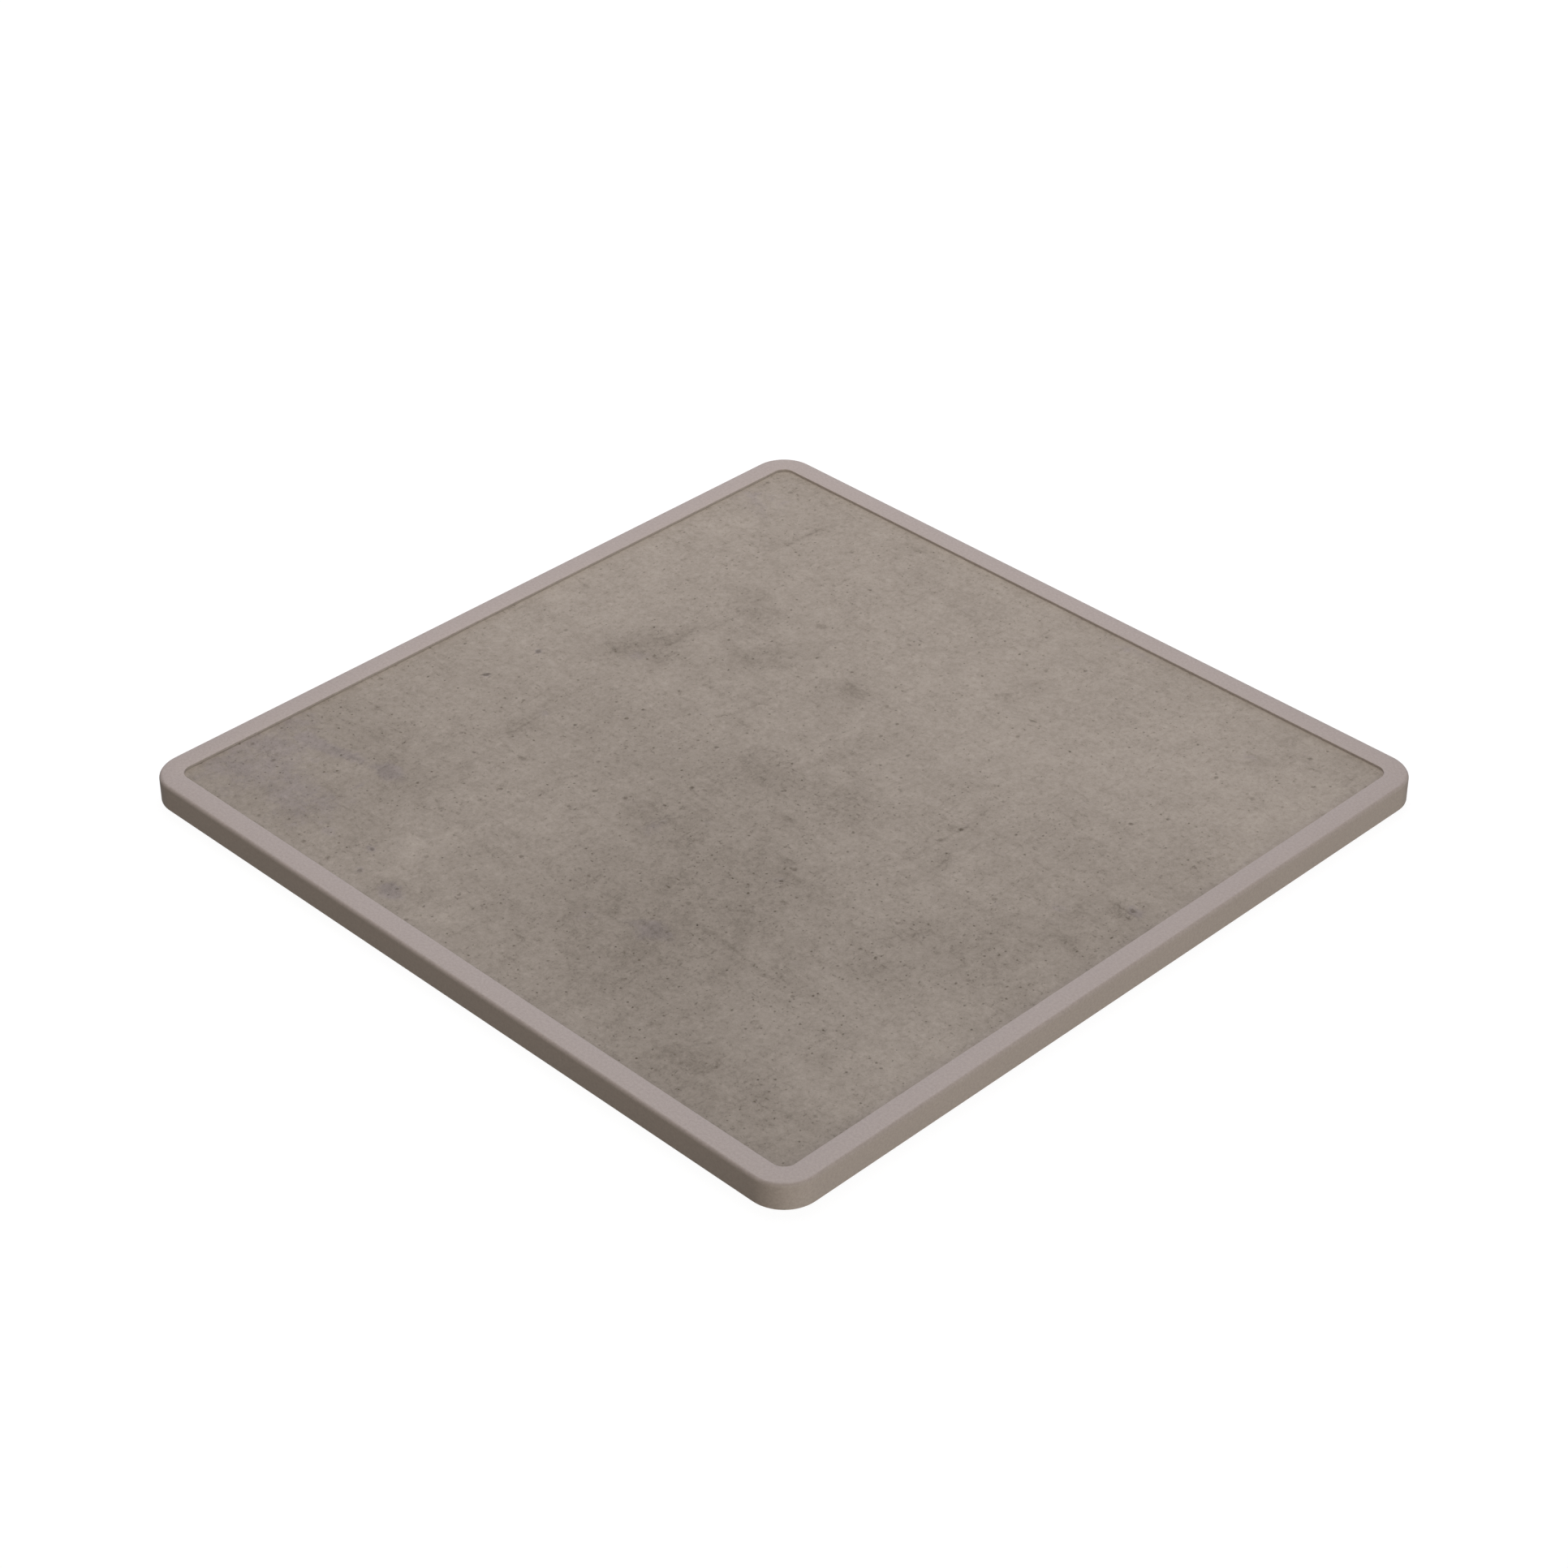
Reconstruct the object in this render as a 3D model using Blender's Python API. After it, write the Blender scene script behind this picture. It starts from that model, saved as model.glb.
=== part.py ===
"""A square cafe table top, 700 x 700 x 22 mm.

A board with a concrete-look laminate on top and a backing laminate underneath fills a moulded rim.
The rim's lip stands above the laminate, so spills stay on the table. A dovetail tongue on the rim's
inside lies in a groove around the board's edge. Four threaded inserts in the underside take the
screws of a table base.

The frame: the origin is the middle of the underside, X and Y run along the sides, and +Z is up.
A piece's section is drawn as (inset, height) points. The inset is measured inwards from the side
faces, and the height up from the underside.
"""

import math

import bmesh
import bpy

MM = 0.001

# The outside
SIDE = 700 * MM
THICKNESS = 22 * MM
CORNER_RADIUS = 30 * MM
RIM_WIDTH = 19.3 * MM
LIP_HEIGHT = 2 * MM
TOP_FILLET = 3 * MM
LIP_FILLET = 0.5 * MM
FOOT_FILLET = 0.5 * MM

# The layers, and the glue line that is also the gap between any two pieces
LAMINATE = 0.7 * MM
BOND = 0.3 * MM

# The rim's tongue: a dovetail, higher at its tip than at its root
TONGUE_DEPTH = 5 * MM
TONGUE_ROOT = 4 * MM
TONGUE_TIP = 6 * MM

# The inserts: M8, on a square in the middle of the underside
INSERT_SPACING = 270 * MM
INSERT_RECESS = 0.3 * MM
INSERT_LENGTH = 13 * MM
FLANGE_RADIUS = 8 * MM
FLANGE_HEIGHT = 1.5 * MM
BARREL_RADIUS = 5.8 * MM
BARB_RADIUS = 6.4 * MM
BARB_START = 3.5 * MM
BARB_PITCH = 3 * MM
BARB_COUNT = 3
THREAD_RADIUS = 3.324 * MM
MOUTH_RADIUS = 4.3 * MM
DRILL_RADIUS = 6.1 * MM
DRILL_DEPTH = 16 * MM

# How finely the round stretches are cut
CORNER_STEPS = 12
TOP_STEPS = 6
EASING_STEPS = 2
TURN_STEPS = 32

# Heights that follow from the layers
PANEL_TOP = THICKNESS - LIP_HEIGHT
CORE_BOTTOM = LAMINATE + BOND
CORE_TOP = PANEL_TOP - LAMINATE - BOND
CORE_MIDDLE = (CORE_BOTTOM + CORE_TOP) / 2
PANEL_INSET = RIM_WIDTH + BOND


def rounded_square(inset):
    """Points around the rounded square that lies this far inside the side faces."""
    centre = SIDE / 2 - CORNER_RADIUS
    radius = CORNER_RADIUS - inset
    points = []
    for corner in range(4):
        middle = math.radians(45 + 90 * corner)
        centre_x = math.copysign(centre, math.cos(middle))
        centre_y = math.copysign(centre, math.sin(middle))
        for step in range(CORNER_STEPS + 1):
            angle = math.radians(90) * (corner + step / CORNER_STEPS)
            points.append((centre_x + radius * math.cos(angle), centre_y + radius * math.sin(angle)))
    return points


def arc(centre, radius, start, end, steps):
    """Section points along an arc, between two angles in degrees."""
    points = []
    for step in range(steps + 1):
        angle = math.radians(start + (end - start) * step / steps)
        points.append((centre[0] + radius * math.cos(angle), centre[1] + radius * math.sin(angle)))
    return points


def tongue_half_height(inset):
    """Half the tongue's height at an inset; the flanks also run on past its tip and root."""
    share = (inset - RIM_WIDTH) / TONGUE_DEPTH
    return (TONGUE_ROOT + (TONGUE_TIP - TONGUE_ROOT) * share) / 2


def new_object(name, bm, smooth_angle=30):
    """Turns a bmesh into a named object, shaded smooth except at its edges."""
    bmesh.ops.recalc_face_normals(bm, faces=bm.faces)
    mesh = bpy.data.meshes.new(name)
    bm.to_mesh(mesh)
    bm.free()
    mesh.shade_smooth()
    mesh.set_sharp_from_angle(angle=math.radians(smooth_angle))
    ob = bpy.data.objects.new(name, mesh)
    bpy.context.collection.objects.link(ob)
    return ob


def finish(ob, colour, roughness, metallic=0.0):
    """Gives the object a material of its own."""
    material = bpy.data.materials.new(ob.name)
    material.use_nodes = True
    shader = material.node_tree.nodes["Principled BSDF"]
    shader.inputs["Base Color"].default_value = (*colour, 1.0)
    shader.inputs["Roughness"].default_value = roughness
    shader.inputs["Metallic"].default_value = metallic
    ob.data.materials.append(material)


def outline_loop(bm, inset, height):
    """Adds the vertices around the outline at one point of a section."""
    return [bm.verts.new((x, y, height)) for x, y in rounded_square(inset)]


def add_wall(bm, loop, following):
    """Joins two loops of as many vertices with a band of four-sided faces."""
    pairs = zip(loop, following)
    next_pairs = zip(loop[1:] + loop[:1], following[1:] + following[:1])
    for (a, b), (c, d) in zip(pairs, next_pairs):
        bm.faces.new((a, c, d, b))


def ring(name, section):
    """Carries a closed section around the rounded square."""
    bm = bmesh.new()
    loops = [outline_loop(bm, inset, height) for inset, height in section]
    for loop, following in zip(loops, loops[1:] + loops[:1]):
        add_wall(bm, loop, following)
    return new_object(name, bm)


def plate(name, section):
    """Carries an open section around the rounded square, and closes it below and above."""
    bm = bmesh.new()
    loops = [outline_loop(bm, inset, height) for inset, height in section]
    for loop, following in zip(loops, loops[1:]):
        add_wall(bm, loop, following)
    bm.faces.new(loops[0])
    bm.faces.new(loops[-1])
    return new_object(name, bm)


def turned(name, profile, closed):
    """Turns a profile of (radius, height) points about Z; an open one starts and ends on the axis."""
    bm = bmesh.new()
    verts = [bm.verts.new((radius, 0, height)) for radius, height in profile]
    following = verts[1:] + verts[:1] if closed else verts[1:]
    edges = [bm.edges.new(pair) for pair in zip(verts, following)]
    bmesh.ops.spin(
        bm,
        geom=verts + edges,
        cent=(0, 0, 0),
        axis=(0, 0, 1),
        angle=math.tau,
        steps=TURN_STEPS,
    )
    bmesh.ops.remove_doubles(bm, verts=bm.verts, dist=0.001 * MM)
    return new_object(name, bm)


def make_rim():
    """The moulded rim, with its lip, its rounded top edge and its dovetail tongue."""
    tip = RIM_WIDTH + TONGUE_DEPTH
    section = arc((FOOT_FILLET, FOOT_FILLET), FOOT_FILLET, 270, 180, EASING_STEPS)
    section += arc((TOP_FILLET, THICKNESS - TOP_FILLET), TOP_FILLET, 180, 90, TOP_STEPS)
    lip_centre = (RIM_WIDTH - LIP_FILLET, THICKNESS - LIP_FILLET)
    section += arc(lip_centre, LIP_FILLET, 90, 0, EASING_STEPS)
    section += [
        (RIM_WIDTH, CORE_MIDDLE + tongue_half_height(RIM_WIDTH)),
        (tip, CORE_MIDDLE + tongue_half_height(tip)),
        (tip, CORE_MIDDLE - tongue_half_height(tip)),
        (RIM_WIDTH, CORE_MIDDLE - tongue_half_height(RIM_WIDTH)),
        (RIM_WIDTH, 0.0),
    ]
    rim = ring("edge_rim", section)
    finish(rim, (0.38, 0.33, 0.31), 0.55)


def barbs():
    """The outside of an insert's barrel, from the flange up; each barb has a ledge below and a taper above."""
    points = [(BARREL_RADIUS, FLANGE_HEIGHT)]
    for count in range(BARB_COUNT):
        start = BARB_START + BARB_PITCH * count
        points += [(BARREL_RADIUS, start), (BARB_RADIUS, start)]
    points.append((BARREL_RADIUS, BARB_START + BARB_PITCH * BARB_COUNT))
    return points


def insert_places():
    """The inserts' axes, around the middle of the underside."""
    half = INSERT_SPACING / 2
    return [(half, half), (-half, half), (-half, -half), (half, -half)]


def make_inserts():
    """The threaded inserts. The bore is at the thread's minor radius."""
    profile = [(MOUTH_RADIUS, 0.0), (FLANGE_RADIUS, 0.0), (FLANGE_RADIUS, FLANGE_HEIGHT)]
    profile += barbs()
    profile += [
        (BARREL_RADIUS, INSERT_LENGTH),
        (THREAD_RADIUS, INSERT_LENGTH),
        (THREAD_RADIUS, MOUTH_RADIUS - THREAD_RADIUS),
    ]
    for number, (x, y) in enumerate(insert_places(), start=1):
        insert = turned(f"threaded_insert_{number}", profile, closed=True)
        insert.location = (x, y, INSERT_RECESS)
        finish(insert, (0.62, 0.62, 0.60), 0.35, metallic=1.0)


def make_hole_cutters():
    """What each insert's hole takes out of the layers: the insert's own shape, one gap larger, and a drilled end."""
    below = -1 * MM
    seat_top = INSERT_RECESS + FLANGE_HEIGHT + BOND
    profile = [(0.0, below), (FLANGE_RADIUS + BOND, below), (FLANGE_RADIUS + BOND, seat_top)]
    pressed = [(radius + BOND, INSERT_RECESS + height - BOND) for radius, height in barbs()]
    profile.append((pressed[0][0], seat_top))
    profile += pressed[1:]
    profile += [(DRILL_RADIUS, DRILL_DEPTH), (0.0, DRILL_DEPTH)]
    cutters = []
    for number, (x, y) in enumerate(insert_places(), start=1):
        cutter = turned(f"hole_cutter_{number}", profile, closed=False)
        cutter.location = (x, y, 0)
        cutter.hide_render = True
        cutter.display_type = "WIRE"
        cutters.append(cutter)
    return cutters


def cut_holes(ob, cutters):
    """Takes the inserts' holes out of a layer."""
    for cutter in cutters:
        cut = ob.modifiers.new(cutter.name, "BOOLEAN")
        cut.operation = "DIFFERENCE"
        cut.solver = "EXACT"
        cut.object = cutter


def make_core(cutters):
    """The board, with the groove for the rim's tongue and the blind holes for the inserts."""
    slope = (TONGUE_TIP - TONGUE_ROOT) / 2 / TONGUE_DEPTH
    flank_gap = BOND * math.hypot(1, slope)
    bottom = PANEL_INSET + TONGUE_DEPTH
    mouth_half = tongue_half_height(PANEL_INSET) + flank_gap
    bottom_half = tongue_half_height(bottom) + flank_gap
    section = [
        (PANEL_INSET, CORE_BOTTOM),
        (PANEL_INSET, CORE_MIDDLE - mouth_half),
        (bottom, CORE_MIDDLE - bottom_half),
        (bottom, CORE_MIDDLE + bottom_half),
        (PANEL_INSET, CORE_MIDDLE + mouth_half),
        (PANEL_INSET, CORE_TOP),
    ]
    core = plate("core_board", section)
    cut_holes(core, cutters)
    finish(core, (0.42, 0.29, 0.17), 0.9)


def make_laminates(cutters):
    """The decor laminate on top of the board, and the backing laminate with the inserts' holes under it."""
    decor = plate("decor_laminate", [(PANEL_INSET, PANEL_TOP - LAMINATE), (PANEL_INSET, PANEL_TOP)])
    finish(decor, (0.30, 0.26, 0.22), 0.6)
    backing = plate("backing_laminate", [(PANEL_INSET, 0.0), (PANEL_INSET, LAMINATE)])
    cut_holes(backing, cutters)
    finish(backing, (0.45, 0.42, 0.38), 0.6)


def main():
    """Builds the table top in an empty scene."""
    for ob in list(bpy.data.objects):
        bpy.data.objects.remove(ob)
    cutters = make_hole_cutters()
    make_rim()
    make_core(cutters)
    make_laminates(cutters)
    make_inserts()


main()
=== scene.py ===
"""The looks of the square table top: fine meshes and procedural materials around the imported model."""

import math

import bmesh
import bpy
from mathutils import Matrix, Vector


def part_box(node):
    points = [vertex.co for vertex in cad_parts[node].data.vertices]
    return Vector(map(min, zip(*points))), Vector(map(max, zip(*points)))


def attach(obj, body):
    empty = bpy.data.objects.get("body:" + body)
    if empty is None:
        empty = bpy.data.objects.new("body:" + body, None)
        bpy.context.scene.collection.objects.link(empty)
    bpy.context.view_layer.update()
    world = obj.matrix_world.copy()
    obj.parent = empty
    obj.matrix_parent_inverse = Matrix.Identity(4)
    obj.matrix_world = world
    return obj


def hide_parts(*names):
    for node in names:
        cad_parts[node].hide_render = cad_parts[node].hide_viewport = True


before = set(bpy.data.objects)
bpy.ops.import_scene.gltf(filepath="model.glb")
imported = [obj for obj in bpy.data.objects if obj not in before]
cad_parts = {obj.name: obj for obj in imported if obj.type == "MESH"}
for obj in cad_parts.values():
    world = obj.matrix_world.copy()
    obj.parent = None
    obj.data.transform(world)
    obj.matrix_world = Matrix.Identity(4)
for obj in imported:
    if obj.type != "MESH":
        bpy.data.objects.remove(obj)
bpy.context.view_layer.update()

MM = 0.001

# Sizes read from the frame
RIM_LOW, RIM_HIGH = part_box("edge_rim")
DECOR_LOW, DECOR_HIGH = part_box("decor_laminate")
CORE_LOW, CORE_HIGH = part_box("core_board")
SIDE = RIM_HIGH.x - RIM_LOW.x
THICKNESS = RIM_HIGH.z - RIM_LOW.z
CENTRE = (RIM_LOW + RIM_HIGH) / 2
INSERTS = ["threaded_insert_1", "threaded_insert_2", "threaded_insert_3", "threaded_insert_4"]

# Sizes that a box doesn't give
GAP = 0.3 * MM
CORNER_RADIUS = 30 * MM
RIM_WIDTH = DECOR_LOW.x - RIM_LOW.x - GAP
TOP_FILLET = 3 * MM
LIP_FILLET = 0.5 * MM
FOOT_FILLET = 0.5 * MM
TONGUE_DEPTH = 5 * MM
TONGUE_ROOT = 4 * MM
TONGUE_TIP = 6 * MM
DECOR_CLEARANCE = 0.02 * MM

# The inserts: a flange, a barbed barrel and an M8 thread
FLANGE_HEIGHT = 1.5 * MM
FLANGE_EASING = 0.25 * MM
BARREL_RADIUS = 5.8 * MM
BARB_RADIUS = 6.4 * MM
BARB_START = 3.5 * MM
BARB_PITCH = 3 * MM
BARB_COUNT = 3
THREAD_MINOR = 3.324 * MM
THREAD_MAJOR = 4 * MM
THREAD_PITCH = 1.25 * MM
MOUTH_RADIUS = 4.3 * MM


# ---------------------------------------------------------------- meshes

# How finely the round stretches are cut
CORNER_STEPS = 40
TOP_STEPS = 14
LIP_STEPS = 5
FOOT_STEPS = 4
TURN_STEPS = 64
PITCH_STEPS = 12
SMOOTH_ANGLE = 30


def rounded_square(inset):
    """Points around the rounded square that lies this far inside the side faces."""
    centre = SIDE / 2 - CORNER_RADIUS
    radius = CORNER_RADIUS - inset
    points = []
    for corner in range(4):
        middle = math.radians(45 + 90 * corner)
        centre_x = math.copysign(centre, math.cos(middle))
        centre_y = math.copysign(centre, math.sin(middle))
        for step in range(CORNER_STEPS + 1):
            angle = math.radians(90) * (corner + step / CORNER_STEPS)
            points.append((centre_x + radius * math.cos(angle), centre_y + radius * math.sin(angle)))
    return points


def arc(centre, radius, start, end, steps):
    """Section points along an arc, between two angles in degrees."""
    points = []
    for step in range(steps + 1):
        angle = math.radians(start + (end - start) * step / steps)
        points.append((centre[0] + radius * math.cos(angle), centre[1] + radius * math.sin(angle)))
    return points


def new_piece(name, bm):
    """Turns a bmesh into an object, shaded smooth except at its edges."""
    bmesh.ops.recalc_face_normals(bm, faces=bm.faces)
    mesh = bpy.data.meshes.new(name)
    bm.to_mesh(mesh)
    bm.free()
    mesh.shade_smooth()
    mesh.set_sharp_from_angle(angle=math.radians(SMOOTH_ANGLE))
    piece = bpy.data.objects.new(name, mesh)
    bpy.context.scene.collection.objects.link(piece)
    return piece


def bands(bm, loops):
    """Joins each loop of vertices to the next with four-sided faces."""
    for loop, following in zip(loops, loops[1:]):
        for i in range(len(loop)):
            j = (i + 1) % len(loop)
            bm.faces.new((loop[i], loop[j], following[j], following[i]))


def swept(name, section, closed):
    """Carries a section around the rounded square: a closed one is a ring, an open one is filled."""
    bm = bmesh.new()
    loops = [[bm.verts.new((x, y, height)) for x, y in rounded_square(inset)] for inset, height in section]
    if closed:
        bands(bm, loops + loops[:1])
    else:
        bands(bm, loops)
        bm.faces.new(loops[0])
        bm.faces.new(loops[-1])
    return new_piece(name, bm)


def stand_in(piece, node):
    """Shows the piece in place of a CAD node: the piece goes on the root body and the node is hidden."""
    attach(piece, "root")
    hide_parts(node)


# ---------------------------------------------------------------- node trees


class Number:
    """A number that a material's nodes work out. Arithmetic on it adds Math nodes."""

    def __init__(self, tree, socket):
        self.tree = tree
        self.socket = socket

    def __add__(self, other):
        return self.tree.maths("ADD", self, other)

    def __sub__(self, other):
        return self.tree.maths("SUBTRACT", self, other)

    def __mul__(self, other):
        return self.tree.maths("MULTIPLY", self, other)

    def ramp(self, low, high, to_low=0.0, to_high=1.0, kind="SMOOTHSTEP"):
        """The number taken from one range to another, held at the ends."""
        node = self.tree.add("ShaderNodeMapRange", interpolation_type=kind)
        values = (self, low, high, to_low, to_high)
        for name, value in zip(("Value", "From Min", "From Max", "To Min", "To Max"), values):
            self.tree.put(node.inputs[name], value)
        return Number(self.tree, node.outputs["Result"])


class Tree:
    """The nodes of a material or a world, with a short method for each kind. Places are in metres."""

    def __init__(self, owner):
        owner.use_nodes = True
        self.owner = owner
        self.nodes = owner.node_tree.nodes
        self.links = owner.node_tree.links

    def add(self, kind, **settings):
        """Adds a node with these settings."""
        node = self.nodes.new(kind)
        for key, value in settings.items():
            setattr(node, key, value)
        return node

    def put(self, socket, value):
        """Links a socket to what feeds it, or sets its value."""
        if isinstance(value, Number):
            value = value.socket
        if isinstance(value, bpy.types.NodeSocket):
            self.links.new(value, socket)
        else:
            socket.default_value = value

    def maths(self, operation, *values):
        """A Math node."""
        node = self.add("ShaderNodeMath", operation=operation)
        for socket, value in zip(node.inputs, values):
            self.put(socket, value)
        return Number(self, node.outputs[0])

    def vector_maths(self, operation, *values):
        """A Vector Math node."""
        node = self.add("ShaderNodeVectorMath", operation=operation)
        for socket, value in zip(node.inputs, values):
            self.put(socket, value)
        return node

    def laid(self, place, centre=(0, 0), scale=(1, 1), turn=0):
        """The place as seen from a pattern that lies at a centre, turned by degrees about Z and scaled."""
        node = self.add("ShaderNodeMapping", vector_type="TEXTURE")
        self.put(node.inputs["Vector"], place)
        node.inputs["Location"].default_value = (*centre, 0)
        node.inputs["Rotation"].default_value = (0, 0, math.radians(turn))
        node.inputs["Scale"].default_value = (*scale, 1)
        return node.outputs[0]

    def noise_node(self, place, grain, detail, roughness, flat):
        """A Noise Texture with grains of this size, in the plane or in space."""
        node = self.add("ShaderNodeTexNoise", noise_dimensions="2D" if flat else "3D")
        self.put(node.inputs["Vector"], place)
        node.inputs["Scale"].default_value = 1 / grain
        node.inputs["Detail"].default_value = detail
        node.inputs["Roughness"].default_value = roughness
        return node

    def noise(self, place, grain, detail=2.0, roughness=0.5, flat=True):
        """Noise about 0."""
        return Number(self, self.noise_node(place, grain, detail, roughness, flat).outputs["Fac"]) - 0.5

    def warped(self, place, grain, reach, detail=2.0):
        """The place pushed about by noise, so that what follows has uneven outlines."""
        push = self.noise_node(place, grain, detail, 0.5, True)
        centred = self.vector_maths("SUBTRACT", push.outputs["Color"], (0.5, 0.5, 0.5))
        pushed = self.vector_maths("MULTIPLY_ADD", centred.outputs[0], (2 * reach, 2 * reach, 0), place)
        return pushed.outputs[0]

    def blot(self, place, x, y, length, width, turn, strength=1.0, edge=0.0):
        """An ellipse that is full from a share of the way out to its middle. Its half axes are in mm."""
        inside = self.laid(place, (x * MM, y * MM), (length * MM, width * MM), turn)
        node = self.add("ShaderNodeTexGradient", gradient_type="SPHERICAL")
        self.put(node.inputs["Vector"], inside)
        return Number(self, node.outputs["Fac"]).ramp(0.0, 1.0 - edge, 0.0, strength)

    def blots(self, place, rows, edge=0.0):
        """The sum of several blots."""
        total = self.blot(place, *rows[0], edge)
        for row in rows[1:]:
            total = total + self.blot(place, *row, edge)
        return total

    def specks(self, place, pitch, radius, share):
        """Dots on a loose grid: a share of its cells holds one, from half the radius to all of it."""
        node = self.add("ShaderNodeTexVoronoi", voronoi_dimensions="2D")
        self.put(node.inputs["Vector"], place)
        node.inputs["Scale"].default_value = 1 / pitch
        chance = self.add("ShaderNodeSeparateColor")
        self.put(chance.inputs[0], node.outputs["Color"])
        distance = Number(self, node.outputs["Distance"])
        held = self.maths("LESS_THAN", chance.outputs[0], share)
        full = radius / pitch
        size = Number(self, chance.outputs[1]).ramp(0, 1, full / 2, full, "LINEAR")
        depth = Number(self, chance.outputs[2]).ramp(0, 1, 0.4, 1.0, "LINEAR")
        return distance.ramp(size * 0.3, size, 1.0, 0.0) * held * depth

    def mixed(self, factor, one, other):
        """A colour, part of the way from one to another."""
        node = self.add("ShaderNodeMix", data_type="RGBA")
        inputs = {socket.identifier: socket for socket in node.inputs}
        self.put(inputs["Factor_Float"], factor)
        self.put(inputs["A_Color"], one)
        self.put(inputs["B_Color"], other)
        return node.outputs[2]

    def toned(self, colour, tone, shares=(1.0, 1.0, 1.0)):
        """The colour, lighter or darker by a tone, of which each channel takes its own share."""
        change = self.vector_maths("SCALE", shares)
        self.put(change.inputs["Scale"], tone)
        return self.vector_maths("MULTIPLY_ADD", colour, change.outputs[0], colour).outputs[0]

    def bump(self, height, distance, strength=1.0):
        """Bump, with the height in the given unit of distance."""
        node = self.add("ShaderNodeBump")
        node.inputs["Strength"].default_value = strength
        node.inputs["Distance"].default_value = distance
        self.put(node.inputs["Height"], height)
        self.put(self.shader.inputs["Normal"], node.outputs[0])


# ---------------------------------------------------------------- materials


def material_tree(name):
    """A new material's nodes, with its shader and its place on the piece at hand."""
    tree = Tree(bpy.data.materials.new(name))
    tree.shader = tree.nodes["Principled BSDF"]
    tree.place = tree.add("ShaderNodeTexCoord").outputs["Object"]
    return tree


def rim_material():
    """Taupe moulded plastic: even colour, a fine satin grain."""
    tree = material_tree("rim_plastic")
    speckle = tree.noise(tree.place, 2.2 * MM, detail=4, roughness=0.9, flat=False)
    drift = tree.noise(tree.place, 70 * MM, detail=3, flat=False)
    colour = tree.toned((0.356, 0.303, 0.281), speckle * 0.8 + drift * 0.05)
    tree.put(tree.shader.inputs["Base Color"], colour)
    tree.put(tree.shader.inputs["Roughness"], speckle.ramp(-0.3, 0.3, 0.46, 0.56, "LINEAR"))
    tree.bump(speckle, 0.05 * MM, 0.35)
    return tree.owner


CONCRETE = (0.2736, 0.2335, 0.1910, 1)
STAINED_CONCRETE = (0.241, 0.204, 0.184, 1)
# The decor's tone is worked out in steps that the eye can just tell apart.
TONE_STEP = 0.0205
# How much of a tone red, green and blue each take. With equal parts the dark tones would look bluish.
DARK_WARMTH = (1.0, 1.06, 1.17)

# The rows below are: x, y, half length, half width in mm, turn in degrees, steps of tone.
BROAD_CLOUDS = (
    (-20, 290, 440, 200, 0, 4),
    (310, 230, 110, 130, 0, 8),
    (200, 240, 100, 140, 0, 5),
    (-310, 210, 90, 110, 0, 3),
    (-300, 60, 120, 200, 0, 4),
    (100, 150, 260, 100, 0, 4),
    (-260, -200, 130, 60, 0, -6),
    (-270, -310, 130, 80, 0, -4),
    (-190, -250, 80, 90, 0, -4),
    (70, -200, 190, 170, 0, -10),
    (-40, -60, 260, 100, 0, -4.5),
    (230, -320, 190, 100, 0, -6.5),
    (260, -60, 90, 60, 0, -5),
    (310, -190, 60, 80, 0, 4.5),
    (220, -130, 90, 60, 0, -3),
    (290, 20, 90, 60, 0, -3),
)
CLOUDS = (
    (105, -255, 34, 50, 0, -3),
    (-14, -110, 65, 42, 15, -6),
    (95, -105, 85, 45, 0, -5),
    (-15, -8, 66, 42, 0, -8),
    (60, 5, 64, 44, 0, -7),
    (-40, 118, 34, 28, 0, -15),
    (-134, 95, 44, 34, 30, -9),
    (-110, 135, 60, 16, 55, -6),
    (-211, 45, 58, 44, 50, -12),
    (-201, 78, 14, 34, 0, -7),
    (-200, 172, 34, 20, -30, -4),
    (-175, 150, 50, 24, -40, -7),
    (-100, -311, 22, 17, 0, -9),
    (-181, -160, 12, 26, 0, -7),
    (-194, -100, 22, 50, 0, -7),
    (296, 52, 44, 14, -15, -8),
    (298, -7, 48, 12, -12, -8),
    (166, 5, 16, 22, 0, -7),
    (143, 42, 10, 38, -15, -6),
    (202, -290, 50, 44, 0, -4.5),
    (212, -76, 44, 36, 0, -6),
    (224, -125, 36, 28, 0, -6),
    (-155, 312, 45, 12, 10, -7),
    (-238, 262, 7, 52, -3, -8),
    (-80, 278, 110, 40, 0, -4.5),
    (253, 274, 26, 12, 0, -7),
    (245, 318, 14, 20, 0, -6),
    (278, 231, 20, 10, 0, -5),
    (-310, 76, 16, 12, 0, -6),
    (263, -224, 14, 14, 0, -6),
    (-137, -260, 62, 26, -45, 8),
    (-47, -311, 28, 20, 0, 8),
    (-80, -180, 52, 24, 15, 4),
    (-150, -235, 50, 40, 0, 2),
    (278, -264, 24, 18, 0, 7),
    (162, 105, 30, 24, 0, 5),
    (-190, -300, 24, 40, 0, 5),
    (120, 120, 50, 40, 0, 2),
)
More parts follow.
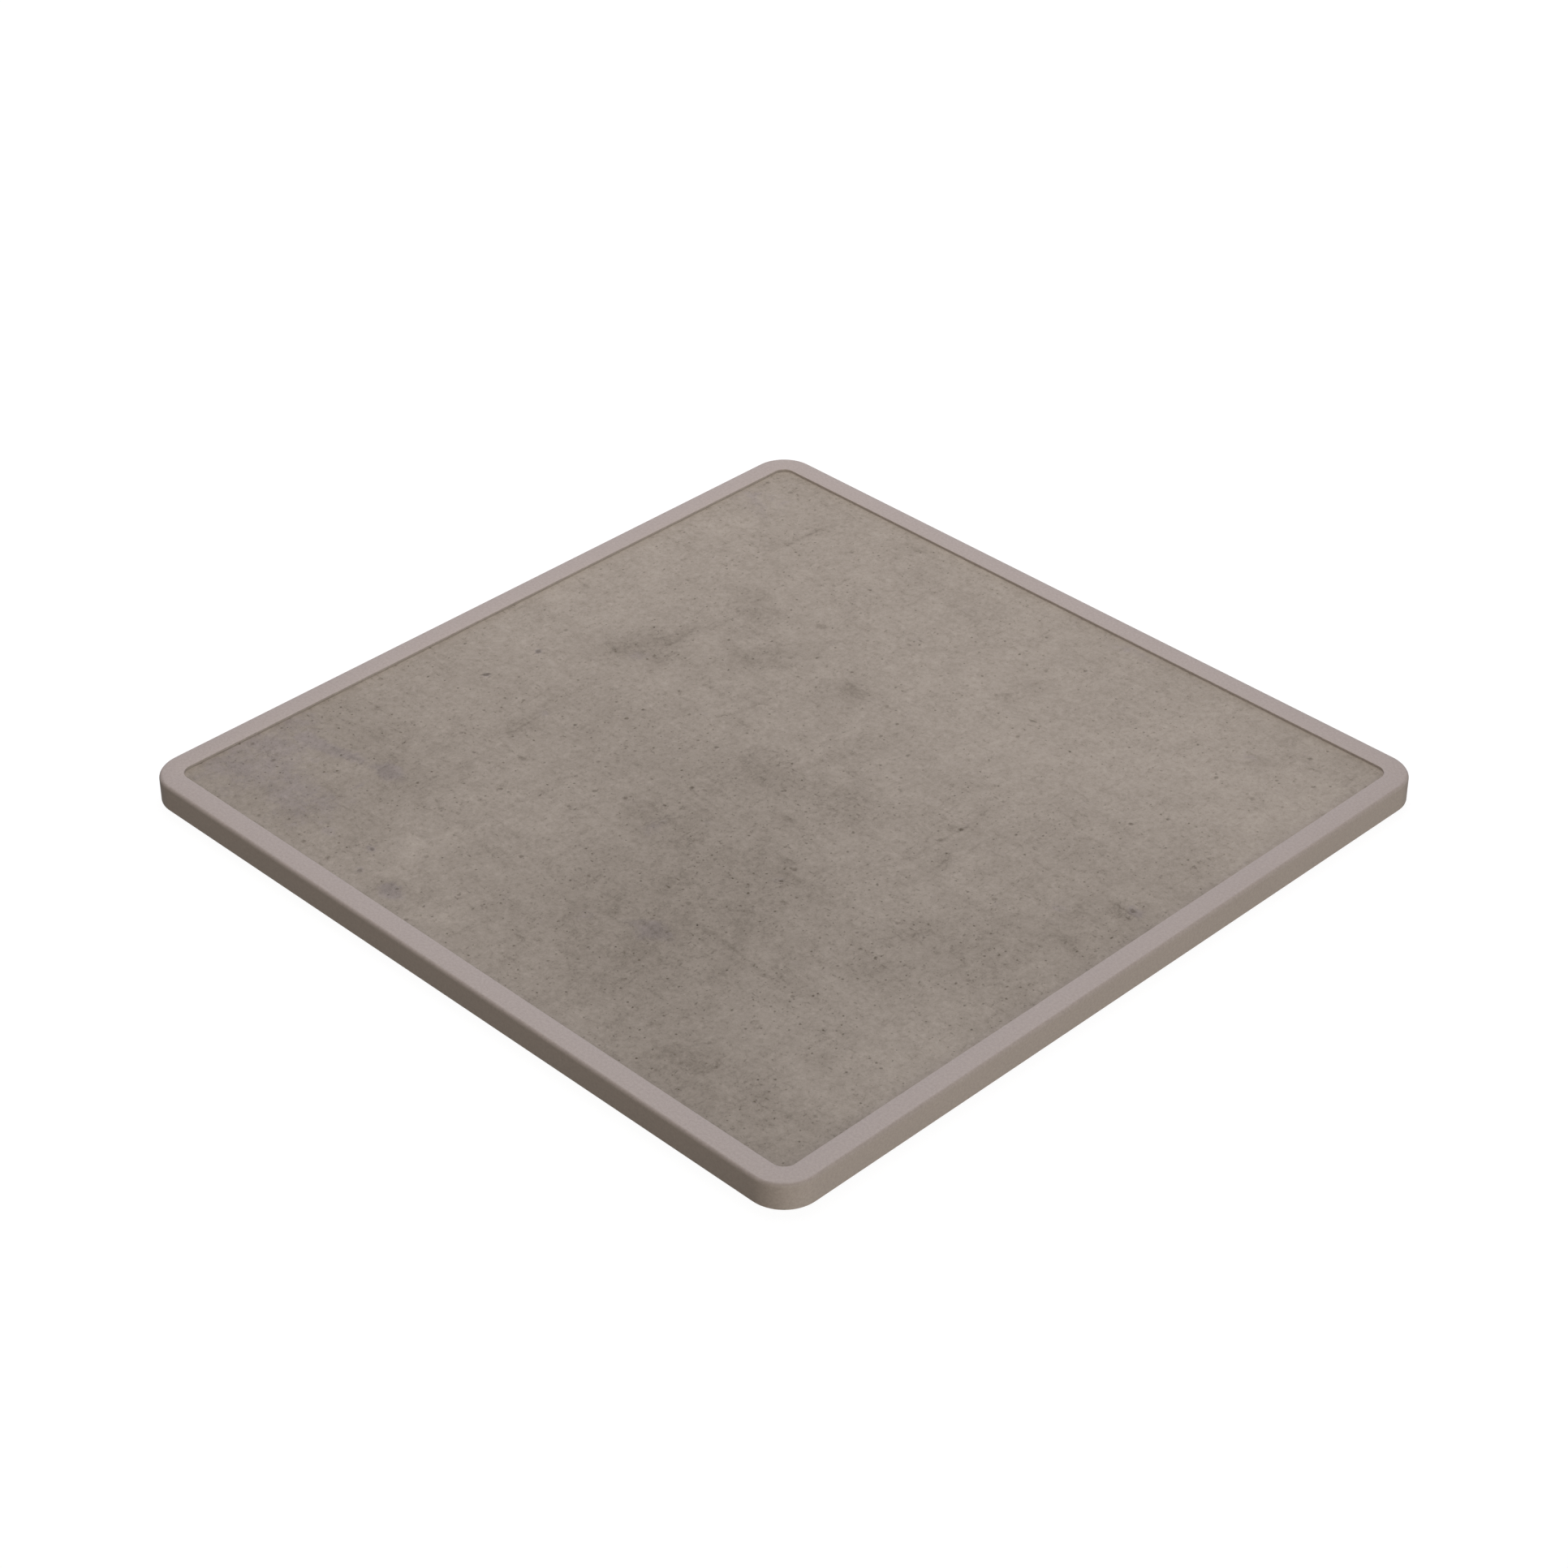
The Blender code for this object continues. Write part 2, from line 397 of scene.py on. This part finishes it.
# Where the trowel dragged: thin dark strokes
STROKES = (
    (-237, 262, 42, 2.4, 88, -10.5),
    (-192, -100, 46, 2.1, 92, -12),
    (-190, -30, 40, 1.6, 88, -6),
    (-203, 150, 24, 3.2, 76, -9),
    (-196, 70, 36, 2.9, 92, -6),
    (-262, -223, 48, 4.0, 8, -6),
    (-219, -214, 16, 7.0, 0, -6),
    (170, 32, 42, 1.9, 91, -7.5),
    (147, 38, 38, 2.6, 88, -9),
    (166, 2, 14, 2.2, 100, -13.5),
    (-120, 142, 34, 3.5, 52, -7),
    (-104, 160, 24, 2.2, 58, -7),
    (143, -184, 40, 2.9, -8, -10.5),
    (100, -182, 30, 3.8, 4, -9),
    (70, -208, 24, 4.5, -4, -8),
    (-295, -163, 36, 1.4, -1, -9),
    (-262, -173, 52, 1.3, 2, -6),
    (206, -87, 9, 1.4, 0, -12),
    (-315, 78, 18, 1.9, -6, -12),
    (-130, 214, 26, 1.6, -4, -7),
    (300, 53, 30, 2.2, -3, -13),
    (285, 30, 26, 3.5, -16, -8),
    (300, -6, 26, 3.2, -18, -10.5),
    (272, 15, 16, 2.2, 10, -9),
    (284, 293, 14, 1.9, 8, -12),
    (240, 276, 18, 2.9, -6, -10.5),
    (245, 312, 12, 3.2, 86, -9),
    (-155, 297, 30, 1.9, 6, -8),
    (-60, 285, 24, 1.9, 3, -7.5),
    (-20, 20, 22, 2.6, 84, -7.5),
    (-5, 14, 26, 2.2, 94, -8),
    (-90, 25, 20, 1.9, 62, -7),
    (-18, -108, 26, 3.2, 74, -7.5),
    (-155, -225, 46, 1.9, 8, -7),
    (-110, -198, 42, 1.6, -5, -6),
    (-25, -300, 26, 1.9, 88, -9),
    (-21, -290, 20, 2.2, 84, -10.5),
    (260, -270, 22, 2.2, 55, -9),
    (250, -215, 20, 2.2, 80, -9),
    (100, -262, 30, 2.6, 84, -8),
)
# Single marks
MARKS = (
    (-264, -18, 3.6, 3.2, 0, -22.5),
    (-268, -71, 6.5, 2.2, 52, -25.5),
    (233, 139, 3.2, 2.4, 70, -25.5),
    (239, 232, 2, 3.4, 15, -25.5),
    (236, 236, 1.6, 1.6, 0, -16.5),
    (87, 190, 6.5, 1.6, 0, -19.5),
    (90, 184, 3, 1.2, 20, -13.5),
    (-128, 171, 8, 5, 0, -12),
    (-159, -129, 5.5, 3.6, 0, -12),
    (-149, -288, 3.2, 2.6, 0, -21),
    (-134, -313, 2.6, 3.4, 0, -18),
    (-139, -213, 3, 2.4, 0, -13.5),
    (306, 57, 5.5, 2.6, 0, -15),
    (51, 86, 2.4, 3.2, 30, -24),
    (-77, 113, 2.2, 2.2, 0, -18),
    (97, -100, 2.6, 1.8, 0, -19.5),
    (212, -118, 2.2, 2.8, 0, -19.5),
    (193, -76, 3.4, 2.2, 0, -16.5),
)
# Mauve stains, where the last column is a strength
STAINS = (
    (-305, -275, 75, 75, 0, 0.75),
    (-230, -285, 50, 50, 0, 0.6),
    (-270, -225, 66, 12, 10, 0.8),
    (-217, -214, 24, 15, 0, 1.0),
    (-325, -215, 30, 20, 0, 0.6),
    (-188, -297, 12, 10, 0, 0.5),
    (-220, -240, 5, 16, 0, 0.6),
    (-98, -312, 18, 16, 0, 0.9),
    (-149, -288, 8, 7, 0, 0.7),
    (-134, -313, 8, 8, 0, 0.6),
    (70, -210, 34, 18, 8, 0.8),
    (25, -232, 12, 12, 0, 0.5),
    (-20, -115, 14, 26, 0, 0.5),
    (5, -87, 10, 8, 0, 0.4),
    (95, -100, 10, 8, 0, 0.5),
    (-193, -76, 10, 8, 0, 0.5),
    (-200, 38, 14, 12, 0, 0.4),
    (307, 57, 14, 10, 0, 0.7),
    (262, 22, 14, 8, 0, 0.5),
    (240, 272, 12, 7, 0, 0.6),
    (145, 50, 8, 14, 0, 0.5),
    (-264, -18, 6, 6, 0, 1.0),
    (-268, -71, 8, 6, 52, 0.8),
    (-300, 275, 50, 34, 0, 0.42),
    (80, 322, 90, 12, 0, 0.4),
)


def pits(tree, place):
    """Pinholes of several sizes, some drawn out along the trowel's strokes. 1 is a full one."""
    ragged = tree.warped(place, 3 * MM, 0.9 * MM, detail=3)
    crowd = tree.noise(place, 60 * MM, detail=3, roughness=0.7)
    share = crowd.ramp(-0.15, 0.15, 0.05, 0.34) + tree.blot(place, 200, -120, 360, 330, 0, 0.16)
    small = tree.specks(ragged, 7.5 * MM, 1.5 * MM, share)
    dust = tree.specks(tree.laid(ragged, (0.1, 0.2)), 4 * MM, 0.9 * MM, share) * 0.55
    large = tree.specks(tree.laid(ragged, (0.3, 0.1)), 26 * MM, 3.0 * MM, 0.2) * 0.8
    along = tree.specks(tree.laid(ragged, (0.2, 0.4), (3, 1)), 11 * MM, 1.2 * MM, share) * 0.6
    across = tree.specks(tree.laid(ragged, (0.5, 0.3), (1, 2.6), 12), 11 * MM, 1.2 * MM, share) * 0.6
    return small + dust + large + along + across


def drag(tree, place, scale, centre):
    """Fine parallel scratches, mostly dark, that come and go."""
    lines = tree.noise(tree.laid(place, centre, scale), 9 * MM, detail=5, roughness=0.9)
    here = tree.noise(tree.laid(place, centre), 50 * MM, detail=4, roughness=0.7).ramp(-0.12, 0.15)
    return lines * 7 + lines.ramp(-0.04, -0.25, 0.0, -10.0) * here


def decor_tone(tree, place, close):
    """How much lighter or darker the concrete is than its mean, in steps of tone."""
    far = tree.warped(place, 90 * MM, 22 * MM, detail=3)
    near = tree.warped(place, 22 * MM, 9 * MM, detail=7)
    patch = tree.noise(near, 24 * MM, detail=7, roughness=0.9)
    broad = tree.blots(far, BROAD_CLOUDS)
    clouds = tree.blots(near, CLOUDS)
    both = broad * 0.5 + clouds
    dark = (both * -0.06 + patch * 3.2).ramp(0.15, 1.3, 0.0, -10.0)
    light = (both * 0.06 - patch * 3.6).ramp(0.3, 1.2, 0.0, 7.0)
    mottle = tree.noise(near, 34 * MM, detail=7, roughness=1.0) * 44
    smudges = tree.noise(close, 30 * MM, detail=7, roughness=0.85).ramp(-0.05, -0.25, 0.0, -9.0)
    flecks = tree.noise(close, 5 * MM, detail=4, roughness=0.8)
    grain = flecks * 25 + flecks.ramp(-0.08, -0.3, 0.0, -11.0)
    broken = tree.noise(close, 12 * MM, detail=5, roughness=0.85).ramp(-0.2, 0.2, 0.0, 1.4)
    strokes = tree.blots(close, STROKES) * broken + tree.blots(close, MARKS, 0.3)
    scratches = drag(tree, close, (6, 1), (0.0, 0.3)) + drag(tree, close, (1, 5), (0.3, 0.0))
    pinholes = pits(tree, place) * -27
    return broad + clouds * 0.6 + dark + light + mottle + smudges + grain + strokes + scratches + pinholes


def stained(tree, close):
    """How strongly the concrete is stained, from 0 to 1, with ragged edges."""
    ragged = tree.noise(close, 22 * MM, detail=7, roughness=0.85)
    return (tree.blots(close, STAINS, 0.2) + ragged * 2.4).ramp(0.2, 0.95)


def decor_material():
    """Concrete-look laminate: soft clouds, trowel marks, pinholes and mauve stains, under a matt skin."""
    tree = material_tree("decor_concrete")
    close = tree.warped(tree.place, 7 * MM, 2.2 * MM, detail=4)
    stain = stained(tree, close)
    tone = decor_tone(tree, tree.place, close)
    tint = tree.mixed(stain, CONCRETE, STAINED_CONCRETE)
    tree.put(tree.shader.inputs["Base Color"], tree.toned(tint, tone * TONE_STEP, DARK_WARMTH))
    tree.put(tree.shader.inputs["Roughness"], tone.ramp(-22.0, 14.0, 0.65, 0.56, "LINEAR"))
    skin = tree.noise(tree.place, 1.4 * MM, detail=3, roughness=0.7, flat=False)
    tree.bump(skin, 0.02 * MM, 0.25)
    return tree.owner


def insert_material():
    """Zinc-plated steel: dull, a little uneven, and darker where the plating is thin."""
    tree = material_tree("zinc_plated_steel")
    cloud = tree.noise(tree.place, 3 * MM, detail=4, roughness=0.7, flat=False)
    colour = tree.toned((0.60, 0.60, 0.57), cloud * 0.5)
    tree.put(tree.shader.inputs["Base Color"], colour)
    tree.put(tree.shader.inputs["Roughness"], cloud.ramp(-0.2, 0.2, 0.42, 0.3, "LINEAR"))
    tree.shader.inputs["Metallic"].default_value = 1.0
    tree.bump(cloud, 0.02 * MM, 0.3)
    return tree.owner


def core_material():
    """Raw fibreboard: short matted fibres, darker in places."""
    tree = material_tree("fibreboard")
    matted = tree.warped(tree.place, 4 * MM, 2 * MM, detail=3)
    fibres = tree.noise(matted, 0.9 * MM, detail=3, roughness=0.8, flat=False)
    cloud = tree.noise(tree.place, 25 * MM, detail=4, flat=False)
    colour = tree.toned((0.42, 0.29, 0.17), fibres * 0.9 + cloud * 0.3)
    tree.put(tree.shader.inputs["Base Color"], colour)
    tree.put(tree.shader.inputs["Roughness"], fibres.ramp(-0.3, 0.3, 0.95, 0.82, "LINEAR"))
    tree.bump(fibres, 0.15 * MM, 0.6)
    return tree.owner


def backing_material():
    """Backing laminate: plain, grey-beige and faintly clouded, with sanding lines along the board."""
    tree = material_tree("backing_laminate")
    cloud = tree.noise(tree.place, 60 * MM, detail=5, roughness=0.6)
    grain = tree.noise(tree.place, 1.2 * MM, detail=2)
    lines = tree.noise(tree.laid(tree.place, scale=(40, 1)), 2 * MM, detail=3, roughness=0.7)
    colour = tree.toned((0.45, 0.42, 0.38), cloud * 0.14 + grain * 0.10 + lines * 0.10)
    tree.put(tree.shader.inputs["Base Color"], colour)
    tree.put(tree.shader.inputs["Roughness"], lines.ramp(-0.3, 0.3, 0.56, 0.68, "LINEAR"))
    tree.bump(lines, 0.03 * MM, 0.3)
    return tree.owner


# ---------------------------------------------------------------- pieces


def make_rim():
    """The rim, with its lip, its rounded edges and its tongue."""
    middle = (CORE_LOW.z + CORE_HIGH.z) / 2
    tip = RIM_WIDTH + TONGUE_DEPTH
    section = arc((FOOT_FILLET, FOOT_FILLET), FOOT_FILLET, 270, 180, FOOT_STEPS)
    section += arc((TOP_FILLET, THICKNESS - TOP_FILLET), TOP_FILLET, 180, 90, TOP_STEPS)
    section += arc((RIM_WIDTH - LIP_FILLET, THICKNESS - LIP_FILLET), LIP_FILLET, 90, 0, LIP_STEPS)
    section += [
        (RIM_WIDTH, middle + TONGUE_ROOT / 2),
        (tip, middle + TONGUE_TIP / 2),
        (tip, middle - TONGUE_TIP / 2),
        (RIM_WIDTH, middle - TONGUE_ROOT / 2),
        (RIM_WIDTH, 0.0),
    ]
    rim = swept("rim", section, closed=True)
    rim.data.materials.append(rim_material())
    stand_in(rim, "edge_rim")


def make_decor():
    """The decor sheet, which all but touches the rim's inner wall."""
    inset = RIM_WIDTH + DECOR_CLEARANCE
    decor = swept("decor_sheet", [(inset, DECOR_LOW.z), (inset, DECOR_HIGH.z)], closed=False)
    decor.data.materials.append(decor_material())
    stand_in(decor, "decor_laminate")


def thread_depth(turns):
    """How deep the thread's groove is, as a share, where this many turns of the helix have passed."""
    crest_edge, root_edge = 0.375, 0.0625
    share = (crest_edge - abs(turns % 1 - 0.5)) / (crest_edge - root_edge)
    return min(1.0, max(0.0, share))


def bore_radius(height, turn):
    """The bore's radius at a height above the flange's face: a thread, and a chamfer at the mouth."""
    depth = thread_depth(height / THREAD_PITCH - turn)
    thread = THREAD_MINOR + (THREAD_MAJOR - THREAD_MINOR) * depth
    return max(thread, MOUTH_RADIUS - height)


def insert_outside(radius, length):
    """The outside of an insert, from the flange's face up: (radius, height) points."""
    points = [
        (radius - FLANGE_EASING, 0.0),
        (radius, FLANGE_EASING),
        (radius, FLANGE_HEIGHT - FLANGE_EASING),
        (radius - FLANGE_EASING, FLANGE_HEIGHT),
        (BARREL_RADIUS, FLANGE_HEIGHT),
    ]
    for count in range(BARB_COUNT):
        start = BARB_START + BARB_PITCH * count
        points += [(BARREL_RADIUS, start), (BARB_RADIUS, start)]
    return points + [(BARREL_RADIUS, BARB_START + BARB_PITCH * BARB_COUNT), (BARREL_RADIUS, length)]


def make_inserts():
    """The threaded inserts in the underside."""
    material = insert_material()
    for node in INSERTS:
        low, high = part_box(node)
        length = high.z - low.z
        bm = bmesh.new()
        turns = [step / TURN_STEPS for step in range(TURN_STEPS)]
        ways = [(math.cos(math.tau * turn), math.sin(math.tau * turn)) for turn in turns]
        loops = []
        for radius, height in insert_outside((high.x - low.x) / 2, length):
            loops.append([bm.verts.new((radius * x, radius * y, height)) for x, y in ways])
        rows = round(length / THREAD_PITCH * PITCH_STEPS)
        for row in range(rows, -1, -1):
            height = length * row / rows
            loop = []
            for turn, (x, y) in zip(turns, ways):
                radius = bore_radius(height, turn)
                loop.append(bm.verts.new((radius * x, radius * y, height)))
            loops.append(loop)
        bands(bm, loops + loops[:1])
        insert = new_piece(node.replace("threaded_", ""), bm)
        insert.location = ((low.x + high.x) / 2, (low.y + high.y) / 2, low.z)
        insert.data.materials.append(material)
        stand_in(insert, node)


def dress(node, material):
    """Gives a CAD node a better material."""
    slots = bpy.data.objects[node].material_slots
    for slot in slots:
        slot.material = material


# ---------------------------------------------------------------- stage

LENS = 85.0
SENSOR = 36.0
CAMERA_PITCH = 35.0
CAMERA_AZIMUTH = 45.0
CAMERA_REACH = 2.3479
CAMERA_HEIGHT = 1.6543
FLOOR_SIZE = 12.0
FLOOR_DROP = 0.2 * MM
FLOOR_GLOW = 0.93
FLOOR_SHADE = 0.12


def make_camera():
    """An 85 mm lens that looks down on the near corner."""
    data = bpy.data.cameras.new("camera")
    data.lens = LENS
    data.sensor_width = SENSOR
    camera = bpy.data.objects.new("camera", data)
    bpy.context.scene.collection.objects.link(camera)
    azimuth = math.radians(CAMERA_AZIMUTH)
    away = Vector((math.sin(azimuth), -math.cos(azimuth), 0)) * CAMERA_REACH
    camera.location = Vector((CENTRE.x, CENTRE.y, RIM_LOW.z + CAMERA_HEIGHT)) + away
    camera.rotation_euler = (math.radians(90 - CAMERA_PITCH), 0, azimuth)
    bpy.context.scene.camera = camera


def make_floor():
    """A pale floor, seen from above only. It lights nothing: the studio gives the light from below."""
    bm = bmesh.new()
    bmesh.ops.create_grid(bm, x_segments=1, y_segments=1, size=FLOOR_SIZE / 2)
    floor = new_piece("floor", bm)
    floor.location = (0, 0, RIM_LOW.z - FLOOR_DROP)
    tree = Tree(bpy.data.materials.new("floor"))
    tree.nodes.clear()
    glow = tree.add("ShaderNodeEmission")
    glow.inputs["Strength"].default_value = FLOOR_GLOW
    matt = tree.add("ShaderNodeBsdfDiffuse")
    matt.inputs["Color"].default_value = (FLOOR_SHADE, FLOOR_SHADE, FLOOR_SHADE, 1)
    both = tree.add("ShaderNodeAddShader")
    tree.put(both.inputs[0], glow.outputs[0])
    tree.put(both.inputs[1], matt.outputs[0])
    side = tree.add("ShaderNodeMixShader")
    tree.put(side.inputs[0], tree.add("ShaderNodeNewGeometry").outputs["Backfacing"])
    tree.put(side.inputs[1], both.outputs[0])
    tree.put(side.inputs[2], tree.add("ShaderNodeBsdfTransparent").outputs[0])
    tree.put(tree.add("ShaderNodeOutputMaterial").inputs["Surface"], side.outputs[0])
    floor.data.materials.append(tree.owner)
    floor.visible_diffuse = False
    floor.visible_glossy = False
    floor.visible_shadow = False


# The light that comes from the studio around: azimuth in degrees (0 is the +X side, None is from all sides),
# the heights it spans on a sphere of radius 1, and its colour.
STUDIO = (
    (None, 0.7, 1.0, (0.395, 0.360, 0.380)),
    (-135, 0.4, 0.8, (0.530, 0.565, 0.520)),
    (135, 0.0, 0.4, (1.140, 1.250, 1.520)),
    (-45, 0.0, 0.4, (1.330, 1.160, 0.900)),
    (0, 0.0, 0.4, (1.850, 2.010, 1.920)),
    (0, -1.0, 0.0, (0.770, 0.715, 0.660)),
    (150, -1.0, 0.0, (0.400, 0.380, 0.370)),
)


def studio_light(tree, azimuth, low, high, colour):
    """The light between two heights, which fades away to both sides of an azimuth."""
    way = tree.add("ShaderNodeTexCoord").outputs["Generated"]
    split = tree.add("ShaderNodeSeparateXYZ")
    tree.put(split.inputs[0], way)
    x, y, z = (Number(tree, output) for output in split.outputs)
    light = tree.maths("GREATER_THAN", z, low) * tree.maths("LESS_THAN", z, high)
    if azimuth is not None:
        across = tree.maths("SQRT", x * x + y * y)
        facing = x * math.cos(math.radians(azimuth)) + y * math.sin(math.radians(azimuth))
        share = tree.maths("MAXIMUM", tree.maths("DIVIDE", facing, across), 0.0)
        light = light * share * share
    node = tree.add("ShaderNodeBackground")
    node.inputs["Color"].default_value = (*colour, 1)
    tree.put(node.inputs["Strength"], light)
    return node.outputs[0]


def make_world():
    """A soft studio all around the table top. The camera sees plain white instead."""
    tree = Tree(bpy.data.worlds.new("studio"))
    tree.nodes.clear()
    lights = studio_light(tree, *STUDIO[0])
    for row in STUDIO[1:]:
        both = tree.add("ShaderNodeAddShader")
        tree.put(both.inputs[0], lights)
        tree.put(both.inputs[1], studio_light(tree, *row))
        lights = both.outputs[0]
    white = tree.add("ShaderNodeBackground")
    white.inputs["Color"].default_value = (1, 1, 1, 1)
    seen = tree.add("ShaderNodeMixShader")
    tree.put(seen.inputs[0], tree.add("ShaderNodeLightPath").outputs["Is Camera Ray"])
    tree.put(seen.inputs[1], lights)
    tree.put(seen.inputs[2], white.outputs[0])
    tree.put(tree.add("ShaderNodeOutputWorld").inputs["Surface"], seen.outputs[0])
    bpy.context.scene.world = tree.owner


def make_light(name, azimuth, elevation, distance, size, power, colour):
    """A square area light that looks at the table top. Azimuth 0 is the +X side."""
    data = bpy.data.lights.new(name, "AREA")
    data.size = size
    data.energy = power
    data.color = colour
    light = bpy.data.objects.new(name, data)
    bpy.context.scene.collection.objects.link(light)
    turn, rise = math.radians(azimuth), math.radians(elevation)
    towards = Vector((math.cos(turn) * math.cos(rise), math.sin(turn) * math.cos(rise), math.sin(rise)))
    light.location = CENTRE + towards * distance
    light.rotation_mode = "QUATERNION"
    light.rotation_quaternion = towards.to_track_quat("Z", "Y")
    light.visible_camera = False


def make_stage():
    """Floor, camera and lights."""
    make_floor()
    make_camera()
    make_world()
    make_light("lamp", 135, 60, 2.5, 2.0, 44, (1.0, 0.96, 0.95))
    bpy.context.scene.view_settings.view_transform = "Standard"


make_rim()
make_decor()
make_inserts()
dress("core_board", core_material())
dress("backing_laminate", backing_material())
make_stage()
